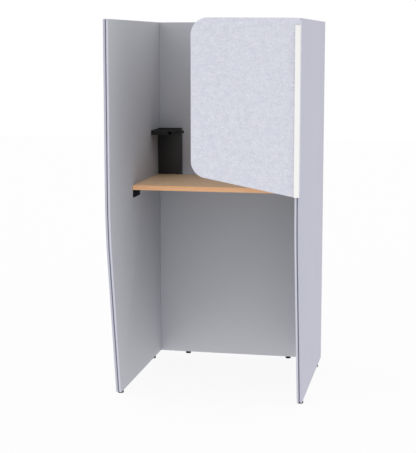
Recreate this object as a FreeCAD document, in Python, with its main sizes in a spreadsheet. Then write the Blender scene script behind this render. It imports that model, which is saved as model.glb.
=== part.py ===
import FreeCAD
import Part
import Sketcher
import math
import os
import re

# A booth for one person who stands at a desk: three panels in a U, a desk between them, a felt screen on the
# right panel's front edge, a cable riser with a shelf in the rear left corner, and adjuster feet.
# The front faces -Y, and the origin lies on the floor under the middle of the whole booth.

doc = FreeCAD.newDocument("office_booth")
sheet = doc.addObject("Spreadsheet::Sheet", "sizes")
pieces = []

driving = {
    # panels: two boards on a core frame, which is drawn in all round and leaves a groove
    "booth_width": 900,
    "booth_depth": 1000,
    "panel_height": 1780,
    "board_thickness": 9,
    "core_thickness": 6,
    "edge_reveal": 6,
    "core_frame_margin": 30,
    # front edge of a side panel: upright, then sloping back below a long soft bend
    "front_bend_height": 823,
    "front_bend_radius": 1440,
    "front_setback": 155,
    "top_corner_radius": 12,
    "bottom_corner_radius": 12,
    # upright rails that hold the back panel's ends on the side panels
    "rail_reach": 12,
    "rail_slip": 0.2,
    "rail_end_inset": 90,
    "rail_screw_share": 0.23,
    "rail_head_share": 0.39,
    # wood screws, and the play of every screw, stud and dowel in its hole
    "screw_radius": 1.75,
    "screw_head_rim": 1.25,
    "screw_head_height": 2,
    "screw_tip_gap": 1,
    "hole_play": 0.1,
    # adjuster feet: a pad on a stud that turns in an insert in the core frame
    "foot_height": 10,
    "foot_radius": 14,
    "foot_chamfer": 1.5,
    "foot_socket_floor": 3,
    "stud_share": 0.3125,
    "stud_bite": 34,
    "insert_end": 12,
    "insert_width": 30,
    "side_foot_front_inset": 40,
    "side_foot_rear_inset": 155,
    "back_foot_inset": 151,
    # desk
    "desk_height": 990,
    "desk_thickness": 24,
    "desk_depth": 522,
    "desk_edging": 2,
    "edging_round_share": 0.45,
    "desk_side_gap": 0.5,
    "wiring_gap": 50,
    # desk brackets: angles on the side panels
    "bracket_length": 126,
    "bracket_leg": 39,
    "bracket_gauge": 3,
    "bracket_bend": 3,
    "bracket_front_inset": 5,
    "bracket_rear_inset": 30,
    "bracket_pitch_share": 0.7,
    "bracket_reach_share": 0.6,
    # felt screen and the strip that clamps it
    "screen_width": 494,
    "screen_thickness": 10,
    "screen_top_over": 1,
    "screen_top_rise": 4,
    "screen_bottom_height": 1002.5,
    "screen_bottom_rise": 90.5,
    "screen_top_radius": 76,
    "screen_bottom_radius": 76,
    "screen_clamped_radius": 20,
    "strip_thickness": 9,
    "strip_top_drop": 30,
    "strip_outer_inset": 3,
    "strip_overhang": 2,
    "strip_round": 2,
    "dowel_share": 0.3125,
    "dowel_socket_share": 0.55,
    "dowel_bite": 24,
    # cable riser: a channel on the back panel, a clip-on cover and a folded shelf
    "riser_width": 122,
    "riser_front_gap": 2,
    "riser_side_gap": 1,
    "sheet_gauge": 2,
    "clip_play": 0.3,
    "cover_leg": 15,
    "shelf_rise": 243,
    "shelf_depth": 197,
    "shelf_lip": 25,
    "shelf_lip_gap": 1,
    "shelf_flange": 32,
    "shelf_screw_share": 0.5,
    "flange_screw_share": 0.55,
    "port_width": 18,
    "port_inset": 14.5,
    "port_drop": 7,
    "port_sill": 5,
    "port_round": 3,
    "ear_margin": 1.5,
    "ear_length": 14,
    "ear_drop": 21,
    "ear_rise": 12,
    "ear_round": 4,
}

derived = {
    "panel_thickness": "2 * board_thickness + core_thickness",
    "panel_top": "foot_height + panel_height",
    "inner_half": "booth_width / 2 - panel_thickness",
    "inner_width": "2 * inner_half",
    "foot_overhang": "max(foot_radius - panel_thickness / 2; 0)",
    "front_y": "(screen_thickness + strip_thickness - booth_depth - foot_overhang) / 2",
    "back_face_depth": "booth_depth - panel_thickness",
    "back_face_y": "front_y + back_face_depth",
    "back_middle_y": "back_face_y + panel_thickness / 2",
    "screw_bite": "board_thickness - screw_tip_gap",
    "screw_head_radius": "screw_radius + screw_head_rim",
    "insert_height": "stud_bite + insert_end",
    "core_fill_inset": "insert_height + core_frame_margin",
    "core_frame_width": "core_fill_inset - edge_reveal",
    "rail_thickness": "core_thickness - 2 * rail_slip",
    "rail_length": "panel_height - 2 * rail_end_inset",
    "rail_top": "rail_end_inset + rail_length",
    "rail_screw_radius": "rail_thickness * rail_screw_share",
    "rail_head_radius": "rail_thickness * rail_head_share",
    "rail_screw_seat": "rail_reach - screw_head_height - hole_play",
    "stud_radius": "core_thickness * stud_share",
    "side_middle": "(booth_width - panel_thickness) / 2",
    "front_foot_depth": "front_setback + side_foot_front_inset",
    "rear_foot_depth": "booth_depth - side_foot_rear_inset",
    "back_foot_reach": "inner_half - back_foot_inset",
    "desk_base": "desk_height - desk_thickness",
    "desk_half": "inner_half - desk_side_gap",
    "desk_rear_depth": "back_face_depth - wiring_gap",
    "desk_front_depth": "desk_rear_depth - desk_depth",
    "edging_round": "desk_edging * edging_round_share",
    "front_bracket_depth": "desk_front_depth + bracket_front_inset + bracket_length / 2",
    "rear_bracket_depth": "desk_rear_depth - bracket_rear_inset - bracket_length / 2",
    "bracket_hole_pitch": "bracket_length * bracket_pitch_share",
    "bracket_hole_reach": "bracket_leg * bracket_reach_share",
    "screen_top_clamped": "panel_top + screen_top_over",
    "screen_top_free": "screen_top_clamped + screen_top_rise",
    "screen_bottom_free": "screen_bottom_height + screen_bottom_rise",
    "strip_top": "panel_top - strip_top_drop",
    "strip_length": "strip_top - screen_bottom_height",
    "strip_width": "strip_overhang + panel_thickness - strip_outer_inset",
    "dowel_radius": "core_thickness * dowel_share",
    "dowel_socket": "strip_thickness * dowel_socket_share",
    "riser_left": "riser_side_gap - inner_half",
    "riser_depth": "wiring_gap - riser_front_gap",
    "riser_channel_depth": "riser_depth - sheet_gauge",
    "shelf_top": "desk_height + shelf_rise",
    "shelf_base": "shelf_top - sheet_gauge",
    "riser_height": "shelf_base - desk_base",
    "shelf_screw_spacing": "riser_width * shelf_screw_share",
    "shelf_screw_drop": "shelf_flange * flange_screw_share",
    "port_right": "riser_width - port_inset",
    "port_left": "port_right - port_width",
    "port_top": "sheet_gauge - port_drop",
    "port_bottom": "sheet_gauge + port_sill - shelf_lip",
    "ear_reach": "2 * (screw_head_radius + ear_margin)",
    "ear_end": "riser_width + ear_reach",
    "high_ear_height": "riser_height + sheet_gauge - ear_drop",
    "low_ear_height": "ear_rise",
}

rail_screw_count = 5
dowel_count = 5
same_place = 1e-4
right = FreeCAD.Vector(1, 0, 0)
rearward = FreeCAD.Vector(0, 1, 0)
upward = FreeCAD.Vector(0, 0, 1)
half_turn = FreeCAD.Rotation(upward, 180)

for row, (name, text) in enumerate({**driving, **derived}.items(), start=1):
    sheet.set(f"A{row}", name)
    sheet.set(f"B{row}", f"={text}" if name in derived else str(text))
    sheet.setAlias(f"B{row}", name)
doc.recompute()


# Ties between the sheet and the model

def formula(text):
    return re.sub(r"[a-z]\w+", lambda word: f"sizes.{word[0]}", text)


def cell(name):
    return float(sheet.get(name))


def tie(item, **rules):
    for size, text in rules.items():
        item.setExpression(size, formula(text))
    return item


def place(item, x="0", y="0", z="0"):
    for axis, text in (("x", x), ("y", y), ("z", z)):
        item.setExpression(f"Placement.Base.{axis}", formula(text))
    return item


# Sketches: each corner and centre is held at its own place in the sheet's sizes

def new_body(label):
    body = doc.addObject("PartDesign::Body", label)
    body.Label = label
    pieces.append(body)
    return body


def new_sketch(body, role):
    sketch = body.newObject("Sketcher::SketchObject", f"{body.Name}_sketch")
    plane = next(item for item in body.Origin.OriginFeatures if item.Role == role)
    sketch.AttachmentSupport = [(plane, "")]
    sketch.MapMode = "FlatFace"
    return sketch


def hold(sketch, shape, end, across, up):
    for kind, axis, text in (("DistanceX", -2, across), ("DistanceY", -1, up)):
        if text == "0":
            sketch.addConstraint(Sketcher.Constraint("PointOnObject", shape, end, axis))
        else:
            rule = sketch.addConstraint(Sketcher.Constraint(kind, -1, 1, shape, end, 1))
            sketch.setExpression(f"Constraints[{rule}]", formula(text))


def draw_loop(sketch, corners):
    count = len(corners)
    turns = [2 * math.pi * step / count for step in range(count + 1)]
    ring = [FreeCAD.Vector(math.cos(turn), math.sin(turn), 0) for turn in turns]
    lines = [sketch.addGeometry(Part.LineSegment(ring[step], ring[step + 1])) for step in range(count)]
    for step, line in enumerate(lines):
        sketch.addConstraint(Sketcher.Constraint("Coincident", line, 2, lines[(step + 1) % count], 1))
        hold(sketch, line, 1, *corners[step])


def draw_circle(sketch, across, up, radius):
    shape = sketch.addGeometry(Part.Circle())
    hold(sketch, shape, 3, across, up)
    rule = sketch.addConstraint(Sketcher.Constraint("Radius", shape, 1))
    sketch.setExpression(f"Constraints[{rule}]", formula(radius))


def rectangle(left, right, low, high):
    return [(left, low), (right, low), (right, high), (left, high)]


# Features

def pad(body, role, loops, length, against=False, both_ways=False):
    sketch = new_sketch(body, role)
    for corners in loops:
        draw_loop(sketch, corners)
    feature = body.newObject("PartDesign::Pad", f"{body.Name}_pad")
    feature.Profile = sketch
    feature.Reversed = against
    feature.SideType = "Symmetric" if both_ways else "One side"
    tie(feature, Length=length)
    doc.recompute()


def pocket(body, sketch, depth, against):
    before = body.Shape.Volume
    feature = body.newObject("PartDesign::Pocket", f"{body.Name}_pocket")
    feature.Profile = sketch
    feature.Reversed = against
    if depth:
        tie(feature, Length=depth)
    else:
        feature.Type = "ThroughAll"
    doc.recompute()
    if body.Shape.Volume >= before:
        raise RuntimeError(f"{feature.Name} cuts nothing")


def drill(body, role, spots, radius, depth=None, against=False, start=None):
    sketch = new_sketch(body, role)
    if start:
        sketch.setExpression("AttachmentOffset.Base.z", formula(start))
    for across, up in spots:
        draw_circle(sketch, across, up, radius)
    pocket(body, sketch, depth, against)


def notch(body, role, loops, against=False):
    sketch = new_sketch(body, role)
    for corners in loops:
        draw_loop(sketch, corners)
    pocket(body, sketch, None, against)


def round_edges(body, axis, places, radius):
    # rounds the straight edges that run along an axis through the given places in the other two axes
    base = body.Tip
    chosen = []
    for number, edge in enumerate(base.Shape.Edges, start=1):
        straight = edge.Curve.TypeId == "Part::GeomLine"
        if not straight or abs(getattr(edge.Curve.Direction, axis)) < 1 - same_place:
            continue
        here = [getattr(edge.CenterOfMass, other) for other in "xyz" if other != axis]
        if any(math.dist(here, spot) < same_place for spot in places):
            chosen.append(f"Edge{number}")
    feature = body.newObject("PartDesign::Fillet", f"{body.Name}_round")
    feature.Base = (base, chosen)
    tie(feature, Radius=radius)
    doc.recompute()


# Groups of like fasteners share one node

def group(label, members):
    bundle = doc.addObject("Part::Compound", label)
    bundle.Label = label
    bundle.Links = members
    pieces.append(bundle)


def cylinder(name, radius, height):
    return tie(doc.addObject("Part::Cylinder", name), Radius=radius, Height=height)


def screw(name, length, way, x, y, z, radius="screw_radius", head_radius="screw_head_radius"):
    # the origin of a screw is under its head, and the shank points the way that it is driven
    head = place(cylinder(f"{name}_head", head_radius, "screw_head_height"), z="0 - screw_head_height")
    whole = doc.addObject("Part::Fuse", name)
    whole.Base = head
    whole.Tool = cylinder(f"{name}_shank", radius, length)
    whole.Placement.Rotation = FreeCAD.Rotation(upward, way)
    return place(whole, x, y, z)


# Places that several pieces share

sides = {"left": "-1 *", "right": "1 *"}
outward = {"left": -right, "right": right}
screw_hole = "screw_radius + hole_play"
rail_screw_hole = "rail_screw_radius + hole_play"
rail_head_hole = "rail_head_radius + hole_play"
dowel_hole = "dowel_radius + hole_play"
stud_hole = "stud_radius + hole_play"

rail_steps = [f"{2 * step + 1} / {2 * rail_screw_count}" for step in range(rail_screw_count)]
rail_heights = [f"rail_end_inset + rail_length * {step}" for step in rail_steps]
dowel_steps = [f"{2 * step + 1} / {2 * dowel_count}" for step in range(dowel_count)]
dowel_heights = [f"screen_bottom_height + strip_length * {step}" for step in dowel_steps]

side_foot_depths = {"front": "front_foot_depth", "rear": "rear_foot_depth"}
bracket_depths = {"front": "front_bracket_depth", "rear": "rear_bracket_depth"}
hole_ends = ("0 - bracket_hole_pitch / 2", "bracket_hole_pitch / 2")
bracket_holes = [f"{depth} + ({end})" for depth in bracket_depths.values() for end in hole_ends]
bracket_hole_height = "desk_base - bracket_hole_reach"

# in the riser's own frame: across from its left side, and up from the desk's underside
ear_heights = ("high_ear_height", "low_ear_height")
ear_middle = "riser_width + ear_reach / 2"
flange_spots = [
    (f"riser_width / 2 {sign} shelf_screw_spacing / 2", "riser_height - shelf_screw_drop") for sign in "-+"
]
ear_spots = [(ear_middle, height) for height in ear_heights]
riser_spots = ear_spots + flange_spots


# Side panels

def side_outline(inset):
    return [
        (inset, "front_bend_height"),
        (f"front_setback * (1 - {inset} / front_bend_height) + {inset}", inset),
        (f"booth_depth - {inset}", inset),
        (f"booth_depth - {inset}", f"panel_height - {inset}"),
        (inset, f"panel_height - {inset}"),
    ]


def foot_seat(middle):
    return rectangle(f"{middle} - insert_width / 2", f"{middle} + insert_width / 2", "0", "insert_height")


def side_board(label, x):
    body = place(new_body(label), x, "front_y", "foot_height")
    pad(body, "YZ_Plane", [side_outline("0")], "board_thickness")
    round_edges(body, "x", [(0, cell("front_bend_height"))], "front_bend_radius")
    round_edges(body, "x", [(0, cell("panel_height"))], "top_corner_radius")
    round_edges(body, "x", [(cell("front_setback"), 0)], "bottom_corner_radius")
    return body


def side_inner_board(label, x):
    body = side_board(label, x)
    rail_spots = [("back_face_depth + panel_thickness / 2", height) for height in rail_heights]
    drill(body, "YZ_Plane", rail_spots, rail_screw_hole, against=True)
    bracket_spots = [(depth, f"{bracket_hole_height} - foot_height") for depth in bracket_holes]
    drill(body, "YZ_Plane", bracket_spots, screw_hole, against=True)


def side_core(side, x, dowelled):
    frame = place(new_body(f"{side}_core_frame"), x, "front_y", "foot_height")
    pad(frame, "YZ_Plane", [side_outline("edge_reveal"), side_outline("core_fill_inset")], "core_thickness")
    round_edges(frame, "x", [(cell("edge_reveal"), cell("front_bend_height"))], "front_bend_radius")
    notch(frame, "YZ_Plane", [foot_seat(depth) for depth in side_foot_depths.values()], against=True)
    if dowelled:
        spots = [("core_thickness / 2", f"{height} - foot_height") for height in dowel_heights]
        drill(frame, "XZ_Plane", spots, dowel_hole, "edge_reveal + dowel_bite + hole_play")
    fill = place(new_body(f"{side}_core_fill"), x, "front_y", "foot_height")
    pad(fill, "YZ_Plane", [side_outline("core_fill_inset")], "core_thickness")


side_board("left_outer_board", "0 - booth_width / 2")
side_core("left", "board_thickness - booth_width / 2", dowelled=False)
side_inner_board("left_inner_board", "0 - inner_half - board_thickness")
side_inner_board("right_inner_board", "inner_half")
side_core("right", "inner_half + board_thickness", dowelled=True)
side_board("right_outer_board", "inner_half + board_thickness + core_thickness")


# Back panel, between the side panels

def back_outline(end_inset, edge_inset):
    return rectangle(end_inset, f"inner_width - {end_inset}", edge_inset, f"panel_height - {edge_inset}")


def back_sheet(label, y, loops, thickness):
    body = place(new_body(label), "0 - inner_half", f"back_face_y + {y}", "foot_height")
    pad(body, "XZ_Plane", loops, thickness, against=True)
    return body


back_board_loop = back_outline("0", "0")
back_frame_loop = back_outline("(rail_reach + rail_slip)", "edge_reveal")
back_fill_loop = back_outline("(rail_reach + core_frame_width)", "core_fill_inset")
back_inner = back_sheet("back_inner_board", "0", [back_board_loop], "board_thickness")
riser_holes = [
    (f"{across} + riser_side_gap", f"{up} + desk_base - foot_height") for across, up in riser_spots
]
drill(back_inner, "XZ_Plane", riser_holes, screw_hole)
back_frame_loops = [back_frame_loop, back_fill_loop]
back_frame = back_sheet("back_core_frame", "board_thickness", back_frame_loops, "core_thickness")
notch(back_frame, "XZ_Plane", [foot_seat(f"inner_half {sign} back_foot_reach") for sign in "-+"])
back_sheet("back_core_fill", "board_thickness", [back_fill_loop], "core_thickness")
back_sheet("back_outer_board", "board_thickness + core_thickness", [back_board_loop], "board_thickness")


# Rails between the panels: screwed to the side panels, they sit in the groove at the back panel's ends

rail_screws = []
for side, sign in sides.items():
    rail = new_body(f"{side}_corner_rail")
    if side == "right":
        rail.Placement.Rotation = half_turn
    place(rail, f"{sign} inner_half", "back_middle_y", "foot_height")
    section = rectangle("0 - rail_thickness / 2", "rail_thickness / 2", "rail_end_inset", "rail_top")
    pad(rail, "YZ_Plane", [section], "rail_reach")
    spots = [("0", height) for height in rail_heights]
    drill(rail, "YZ_Plane", spots, rail_screw_hole, against=True)
    drill(rail, "YZ_Plane", spots, rail_head_hole, "screw_head_height + hole_play", start="rail_reach")
    for height in rail_heights:
        rail_screws.append(screw(
            f"rail_screw_{len(rail_screws)}", "rail_screw_seat + screw_bite", outward[side],
            f"{sign} (inner_half - rail_screw_seat)", "back_middle_y", f"foot_height + {height}",
            "rail_screw_radius", "rail_head_radius"))
group("corner_rail_screws", rail_screws)


# Desk on four angle brackets

desk = place(new_body("desk_top"), "0", "front_y", "desk_base")
desk_loop = rectangle("0 - desk_half", "desk_half", "desk_front_depth + desk_edging", "desk_rear_depth")
pad(desk, "XY_Plane", [desk_loop], "desk_thickness")
desk_spots = [
    (f"{sign} (inner_half - bracket_hole_reach)", depth) for sign in sides.values() for depth in bracket_holes
]
drill(desk, "XY_Plane", desk_spots, screw_hole, "screw_bite + hole_play", against=True)

edging = place(new_body("desk_front_edging"), "0", "front_y", "desk_base")
edging_loop = rectangle("0 - desk_half", "desk_half", "desk_front_depth", "desk_front_depth + desk_edging")
pad(edging, "XY_Plane", [edging_loop], "desk_thickness")
edging_levels = (0, cell("desk_thickness"))
round_edges(edging, "x", [(cell("desk_front_depth"), level) for level in edging_levels], "edging_round")

bracket_loop = [
    ("0", "0 - bracket_leg"),
    ("bracket_gauge", "0 - bracket_leg"),
    ("bracket_gauge", "0 - bracket_gauge"),
    ("bracket_leg", "0 - bracket_gauge"),
    ("bracket_leg", "0"),
    ("0", "0"),
]
bracket_corner = (cell("bracket_gauge"), -cell("bracket_gauge"))
panel_screws = []
desk_screws = []
for side, sign in sides.items():
    for end, depth in bracket_depths.items():
        bracket = new_body(f"desk_bracket_{end}_{side}")
        if side == "right":
            bracket.Placement.Rotation = half_turn
        place(bracket, f"{sign} inner_half", f"front_y + {depth}", "desk_base")
        pad(bracket, "XZ_Plane", [bracket_loop], "bracket_length", both_ways=True)
        round_edges(bracket, "y", [bracket_corner], "bracket_bend")
        wall_spots = [(place_along, "0 - bracket_hole_reach") for place_along in hole_ends]
        drill(bracket, "YZ_Plane", wall_spots, screw_hole, against=True)
        desk_side_spots = [("bracket_hole_reach", place_along) for place_along in hole_ends]
        drill(bracket, "XY_Plane", desk_side_spots, screw_hole)
    for depth in bracket_holes:
        number = len(panel_screws)
        panel_screws.append(screw(
            f"panel_screw_{number}", "bracket_gauge + screw_bite", outward[side],
            f"{sign} (inner_half - bracket_gauge)", f"front_y + {depth}", bracket_hole_height))
        desk_screws.append(screw(
            f"desk_screw_{number}", "bracket_gauge + screw_bite", upward,
            f"{sign} (inner_half - bracket_hole_reach)", f"front_y + {depth}", "desk_base - bracket_gauge"))
group("bracket_panel_screws", panel_screws)
group("bracket_desk_screws", desk_screws)


# Felt screen, held against the right panel's front edge by a strip on dowels

screen = place(new_body("screen_felt"), "booth_width / 2 - screen_width", "front_y")
screen_loop = [
    ("0", "screen_bottom_free"),
    ("screen_width - panel_thickness", "screen_bottom_height"),
    ("screen_width", "screen_bottom_height"),
    ("screen_width", "screen_top_clamped"),
    ("0", "screen_top_free"),
]
pad(screen, "XZ_Plane", [screen_loop], "screen_thickness")
round_edges(screen, "y", [(0, cell("screen_top_free"))], "screen_top_radius")
round_edges(screen, "y", [(0, cell("screen_bottom_free"))], "screen_bottom_radius")
round_edges(screen, "y", [(cell("screen_width"), cell("screen_top_clamped"))], "screen_clamped_radius")
screen_spots = [("screen_width - panel_thickness / 2", height) for height in dowel_heights]
drill(screen, "XZ_Plane", screen_spots, dowel_hole, against=True)

strip = place(new_body("screen_clamp_strip"), "inner_half - strip_overhang", "front_y - screen_thickness")
strip_loop = rectangle("0", "strip_width", "screen_bottom_height", "strip_top")
pad(strip, "XZ_Plane", [strip_loop], "strip_thickness")
strip_edges = [(across, -cell("strip_thickness")) for across in (0, cell("strip_width"))]
round_edges(strip, "z", strip_edges, "strip_round")
strip_spots = [("strip_overhang + panel_thickness / 2", height) for height in dowel_heights]
drill(strip, "XZ_Plane", strip_spots, dowel_hole, "dowel_socket + hole_play", against=True)

dowels = []
dowel_length = "dowel_socket + screen_thickness + edge_reveal + dowel_bite"
for step, height in enumerate(dowel_heights):
    dowel = cylinder(f"dowel_{step}", "dowel_radius", dowel_length)
    dowel.Placement.Rotation = FreeCAD.Rotation(upward, rearward)
    place(dowel, "side_middle", "front_y - screen_thickness - dowel_socket", height)
    dowels.append(dowel)
group("screen_dowels", dowels)


# Cable riser on the back panel, rising through the wiring gap behind the desk

def riser_piece(label, z):
    return place(new_body(label), "riser_left", "back_face_y", z)


channel_front = "0 - riser_channel_depth"
channel = riser_piece("riser_channel", "desk_base")
channel_loop = [
    ("0", channel_front),
    ("sheet_gauge", channel_front),
    ("sheet_gauge", "0 - sheet_gauge"),
    ("riser_width - sheet_gauge", "0 - sheet_gauge"),
    ("riser_width - sheet_gauge", channel_front),
    ("riser_width", channel_front),
    ("riser_width", "0"),
    ("0", "0"),
]
pad(channel, "XY_Plane", [channel_loop], "riser_height")
ear_root = "riser_width - sheet_gauge"
ear_loops = [
    rectangle(ear_root, "ear_end", f"{height} - ear_length / 2", f"{height} + ear_length / 2")
    for height in ear_heights
]
pad(channel, "XZ_Plane", ear_loops, "sheet_gauge")
ear_levels = [cell(height) + sign * cell("ear_length") / 2 for height in ear_heights for sign in (-1, 1)]
round_edges(channel, "y", [(cell("ear_end"), level) for level in ear_levels], "ear_round")
drill(channel, "XZ_Plane", riser_spots, screw_hole, against=True)

cover = riser_piece("riser_cover", "desk_base")
leg_end = "cover_leg - riser_channel_depth"
leg_outer = "(sheet_gauge + clip_play)"
leg_inner = "(2 * sheet_gauge + clip_play)"
cover_loop = [
    ("0", "0 - riser_depth"),
    ("riser_width", "0 - riser_depth"),
    ("riser_width", channel_front),
    (f"riser_width - {leg_outer}", channel_front),
    (f"riser_width - {leg_outer}", leg_end),
    (f"riser_width - {leg_inner}", leg_end),
    (f"riser_width - {leg_inner}", channel_front),
    (leg_inner, channel_front),
    (leg_inner, leg_end),
    (leg_outer, leg_end),
    (leg_outer, channel_front),
    ("0", channel_front),
]
pad(cover, "XY_Plane", [cover_loop], "riser_height")

shelf = riser_piece("riser_shelf", "shelf_base")
lip_front = "sheet_gauge - shelf_depth"
lip_rear = "0 - riser_depth - shelf_lip_gap"
lip_loop = [
    ("0", "0 - shelf_depth"),
    ("riser_width", "0 - shelf_depth"),
    ("riser_width", lip_rear),
    ("riser_width - sheet_gauge", lip_rear),
    ("riser_width - sheet_gauge", lip_front),
    ("sheet_gauge", lip_front),
    ("sheet_gauge", lip_rear),
    ("0", lip_rear),
]
flange_loop = rectangle(leg_outer, f"riser_width - {leg_outer}", "-2 * sheet_gauge", "0 - sheet_gauge")
pad(shelf, "XY_Plane", [rectangle("0", "riser_width", "0 - shelf_depth", "0")], "sheet_gauge")
pad(shelf, "XY_Plane", [lip_loop], "shelf_lip - sheet_gauge", against=True)
# the port goes through the front lip alone, so it is cut before the flange is there
notch(shelf, "XZ_Plane", [rectangle("port_left", "port_right", "port_bottom", "port_top")], against=True)
port_corners = [
    (cell(end), cell(level)) for end in ("port_left", "port_right") for level in ("port_bottom", "port_top")
]
round_edges(shelf, "y", port_corners, "port_round")
pad(shelf, "XY_Plane", [flange_loop], "shelf_flange", against=True)
flange_holes = [(across, "0 - shelf_screw_drop") for across, up in flange_spots]
drill(shelf, "XZ_Plane", flange_holes, screw_hole, "2 * sheet_gauge + hole_play", against=True)

riser_screws = []
for spots, layers in ((ear_spots, "sheet_gauge"), (flange_spots, "2 * sheet_gauge")):
    for across, up in spots:
        riser_screws.append(screw(
            f"riser_screw_{len(riser_screws)}", f"{layers} + screw_bite", rearward,
            f"riser_left + {across}", f"back_face_y - {layers}", f"desk_base + {up}"))
group("riser_screws", riser_screws)


# Adjuster feet: inserts in the core frames, studs that turn in them, and pads on the floor

foot_places = {}
for side, sign in sides.items():
    for end, depth in side_foot_depths.items():
        x = f"{sign} side_middle"
        foot_places[f"{side}_{end}"] = (x, f"front_y + {depth}", "core_thickness", "insert_width")
    x = f"{sign} back_foot_reach"
    foot_places[f"back_{side}"] = (x, "back_middle_y", "insert_width", "core_thickness")
pad_profile = [
    ("0", "0"),
    ("foot_radius - foot_chamfer", "0"),
    ("foot_radius", "foot_chamfer"),
    ("foot_radius", "foot_height - foot_chamfer"),
    ("foot_radius - foot_chamfer", "foot_height"),
    (stud_hole, "foot_height"),
    (stud_hole, "foot_socket_floor"),
    ("0", "foot_socket_floor"),
]

inserts = []
for name, (x, y, wide, deep) in foot_places.items():
    block = doc.addObject("Part::Box", f"insert_block_{name}")
    tie(block, Length=wide, Width=deep, Height="insert_height")
    place(block, f"{x} - {wide} / 2", f"{y} - {deep} / 2", "foot_height")
    insert = doc.addObject("Part::Cut", f"insert_{name}")
    insert.Base = block
    insert.Tool = place(cylinder(f"insert_bore_{name}", stud_hole, "insert_height"), x, y, "foot_height")
    inserts.append(insert)

    foot = place(new_body(f"foot_pad_{name}"), x, y)
    profile = new_sketch(foot, "XZ_Plane")
    draw_loop(profile, pad_profile)
    turned = foot.newObject("PartDesign::Revolution", f"{foot.Name}_turned")
    turned.Profile = profile
    turned.ReferenceAxis = (profile, ["V_Axis"])

    stud = cylinder(f"foot_stud_{name}", "stud_radius", "foot_height - foot_socket_floor + stud_bite")
    place(stud, x, y, "foot_socket_floor")
    stud.Label = stud.Name
    pieces.append(stud)
group("foot_inserts", inserts)


# Check every object, then write each piece to its own file

doc.recompute()
for item in doc.Objects:
    if {"Invalid", "Error"} & set(item.State):
        raise RuntimeError(f"{item.Name} failed: {item.State}")
for piece in pieces:
    if piece.Shape.isNull() or not piece.Shape.isValid():
        raise RuntimeError(f"{piece.Label} has no valid shape")

os.makedirs("parts", exist_ok=True)
for piece in pieces:
    piece.Shape.exportStep(f"parts/{piece.Label}.step")
    print(piece.Label, "solids", len(piece.Shape.Solids), "volume", round(piece.Shape.Volume))
print("pieces", len(pieces))
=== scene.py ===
import math
import bmesh
import bpy
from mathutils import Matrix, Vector


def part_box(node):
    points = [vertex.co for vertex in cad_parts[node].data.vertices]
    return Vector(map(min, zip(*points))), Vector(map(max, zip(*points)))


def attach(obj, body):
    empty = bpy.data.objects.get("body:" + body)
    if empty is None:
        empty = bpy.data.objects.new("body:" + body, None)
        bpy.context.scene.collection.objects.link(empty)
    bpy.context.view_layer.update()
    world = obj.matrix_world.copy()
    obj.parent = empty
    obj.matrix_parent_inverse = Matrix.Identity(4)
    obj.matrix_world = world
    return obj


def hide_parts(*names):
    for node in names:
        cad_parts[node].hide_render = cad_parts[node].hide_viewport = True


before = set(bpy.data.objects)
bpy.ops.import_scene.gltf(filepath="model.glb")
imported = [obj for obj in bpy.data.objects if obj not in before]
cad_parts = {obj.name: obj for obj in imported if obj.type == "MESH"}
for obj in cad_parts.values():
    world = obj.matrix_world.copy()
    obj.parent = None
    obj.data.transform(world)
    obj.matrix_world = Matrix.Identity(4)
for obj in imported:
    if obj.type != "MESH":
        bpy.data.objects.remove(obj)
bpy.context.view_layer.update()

print("frame loaded:", len(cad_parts), "nodes")


# picking and placing

looseReach = 1e-4   # for points that a cut or a bevel has made


def near(a, b, reach=2e-5):
    return abs(a - b) < reach


def runsAlong(way, axis):
    return abs(getattr(way, axis)) > 0.9


def liesLevel(way):
    return abs(way.z) < 0.1


def pieceName(node):
    first, *rest = node.split("_")
    return first + "".join(word.capitalize() for word in rest)


def leaveEditMode():
    if bpy.context.object and bpy.context.object.mode != "OBJECT":
        bpy.ops.object.mode_set(mode="OBJECT")
    bpy.ops.object.select_all(action="DESELECT")


def makeActive(piece):
    leaveEditMode()
    piece.select_set(True)
    bpy.context.view_layer.objects.active = piece


def applyPlace(piece):
    makeActive(piece)
    bpy.ops.object.transform_apply(location=True, rotation=True, scale=True)


def addBlock(name, low, high):
    leaveEditMode()
    low, high = Vector(low), Vector(high)
    bpy.ops.mesh.primitive_cube_add(size=1, location=(low + high) / 2)
    piece = bpy.context.object
    piece.name = piece.data.name = name
    piece.scale = high - low
    applyPlace(piece)
    return piece


def addSheet(name, size, location, turn=(0, 0, 0)):
    leaveEditMode()
    bpy.ops.mesh.primitive_plane_add(size=1, location=location, rotation=turn)
    piece = bpy.context.object
    piece.name = piece.data.name = name
    piece.scale = (size[0], size[1], 1)
    applyPlace(piece)
    return piece


def addRound(name, radius, low, high, sides, centre=(0, 0)):
    leaveEditMode()
    bpy.ops.mesh.primitive_cylinder_add(
        vertices=sides, radius=radius, depth=high - low, location=(centre[0], centre[1], (low + high) / 2))
    piece = bpy.context.object
    piece.name = piece.data.name = name
    applyPlace(piece)
    return piece


def startEdit(piece, mode):
    makeActive(piece)
    bpy.ops.object.mode_set(mode="EDIT")
    bpy.ops.mesh.select_mode(type=mode)
    bpy.ops.mesh.select_all(action="DESELECT")
    return bmesh.from_edit_mesh(piece.data)


def pickAll(piece):
    startEdit(piece, "FACE")
    bpy.ops.mesh.select_all(action="SELECT")


def pickEdges(piece, test):
    mesh = startEdit(piece, "EDGE")
    for edge in mesh.edges:
        a, b = edge.verts[0].co, edge.verts[1].co
        edge.select_set(bool(test((a + b) / 2, (b - a).normalized())))
    bmesh.update_edit_mesh(piece.data)


def pickFaces(piece, test):
    mesh = startEdit(piece, "FACE")
    for face in mesh.faces:
        face.select_set(bool(test(face.normal)))
    bmesh.update_edit_mesh(piece.data)


def pickCorners(piece, test):
    mesh = startEdit(piece, "VERT")
    for corner in mesh.verts:
        corner.select_set(bool(test(corner.co)))
    bmesh.update_edit_mesh(piece.data)


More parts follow.
